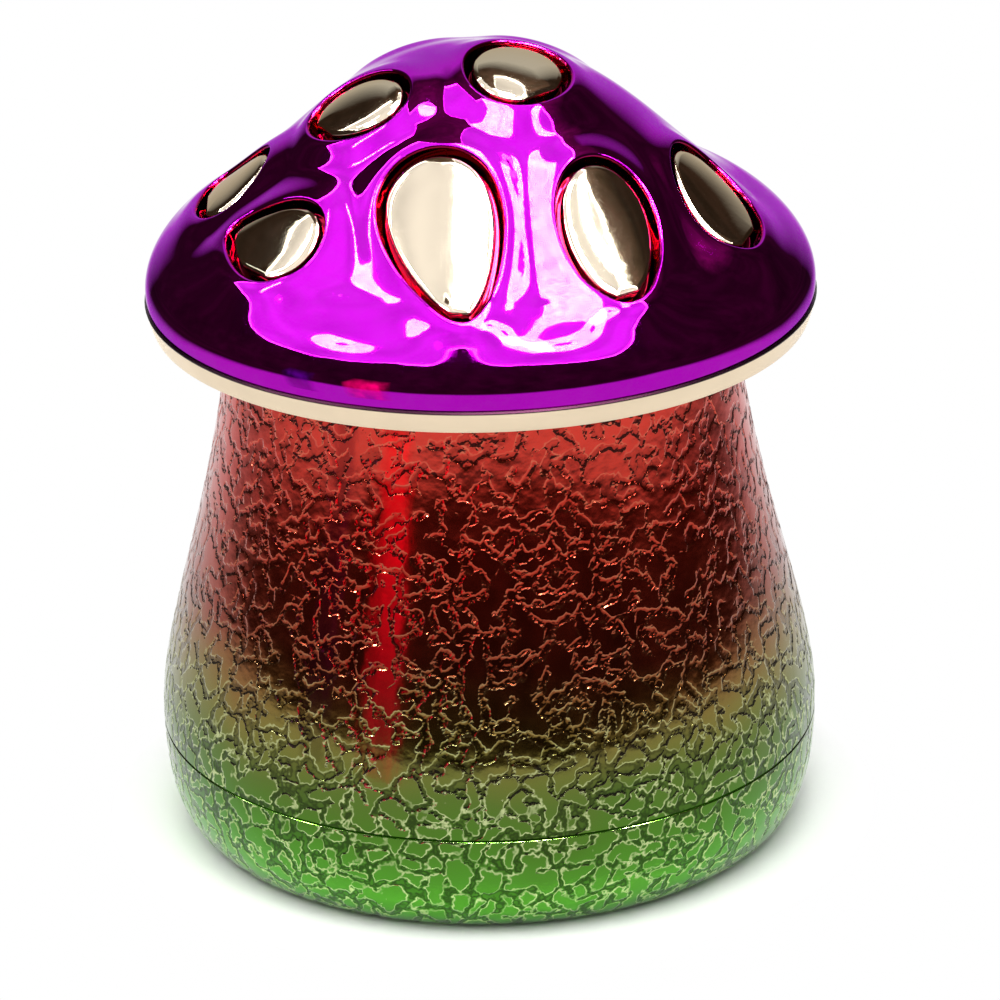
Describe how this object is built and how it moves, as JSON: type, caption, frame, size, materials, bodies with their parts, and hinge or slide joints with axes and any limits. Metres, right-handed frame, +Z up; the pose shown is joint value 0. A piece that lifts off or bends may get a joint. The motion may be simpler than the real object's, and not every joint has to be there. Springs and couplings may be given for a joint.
{
  "type": "herb grinder",
  "caption": "Mushroom-shaped herb grinder: domed cap on a toothed lid, grinding chamber, hollow stem with sieve, screw-on tray.",
  "frame": {"origin": "centre of the tray's flat underside, on the table", "axes": "+Z up along the grinder's axis towards the cap; -Y is the front, the side with the large drop-shaped spot; +X to the right seen from the front"},
  "size_m": [0.063, 0.063, 0.0772],
  "materials": {
    "tray_lacquer": "gloss",
    "stem_lacquer": "gloss",
    "grinder_metal": "satin",
    "sieve_steel": "satin",
    "magnet_plating": "polished",
    "slip_nylon": "matte",
    "cap_plating": "polished",
    "spot_plating": "polished"
  },
  "bodies": {
    "tray": {"tray": "tray_lacquer"},
    "keeper": {"sieve_keeper_ring": "grinder_metal"},
    "stem": {"stem": "stem_lacquer", "sieve_screen": "sieve_steel"},
    "magnet": {"chamber_magnet": "magnet_plating"},
    "chamber": {"grind_chamber": "grinder_metal"},
    "slip_ring": {"slip_ring": "slip_nylon"},
    "lid": {"lid_plate": "grinder_metal", "lid_magnet": "magnet_plating", "cap_shell": "cap_plating", "spot_1": "spot_plating", "spot_2": "spot_plating", "spot_3": "spot_plating", "spot_4": "spot_plating", "spot_5": "spot_plating", "spot_6": "spot_plating", "spot_7": "spot_plating", "spot_8": "spot_plating", "spot_9": "spot_plating", "spot_10": "spot_plating", "spot_11": "spot_plating", "spot_12": "spot_plating"}
  },
  "joints": [
    {"name": "stem_rise", "type": "slide", "parent": "tray", "child": "keeper", "axis": [0, 0, 1], "range_m": [0, 0.004]},
    {"name": "stem_turn", "type": "hinge", "parent": "keeper", "child": "stem", "pos_m": [0, 0, 0.0105], "axis": [0, 0, 1], "range_deg": [0, 718]},
    {"name": "chamber_rise", "type": "slide", "parent": "stem", "child": "magnet", "axis": [0, 0, 1], "range_m": [0, 0.004]},
    {"name": "chamber_turn", "type": "hinge", "parent": "magnet", "child": "chamber", "pos_m": [0, 0, 0.0494], "axis": [0, 0, 1], "range_deg": [0, 718]},
    {"name": "lid_lift", "type": "slide", "parent": "chamber", "child": "slip_ring", "axis": [0, 0, 1], "range_m": [0, 0.045]},
    {"name": "lid_turn", "type": "hinge", "parent": "slip_ring", "child": "lid", "pos_m": [0, 0, 0.0507], "axis": [0, 0, 1], "continuous": true}
  ],
  "couplings": [
    {"joint": "stem_rise", "follows": "stem_turn", "m_per_rad": 0.00031831},
    {"joint": "chamber_rise", "follows": "chamber_turn", "m_per_rad": 0.00031831}
  ]
}
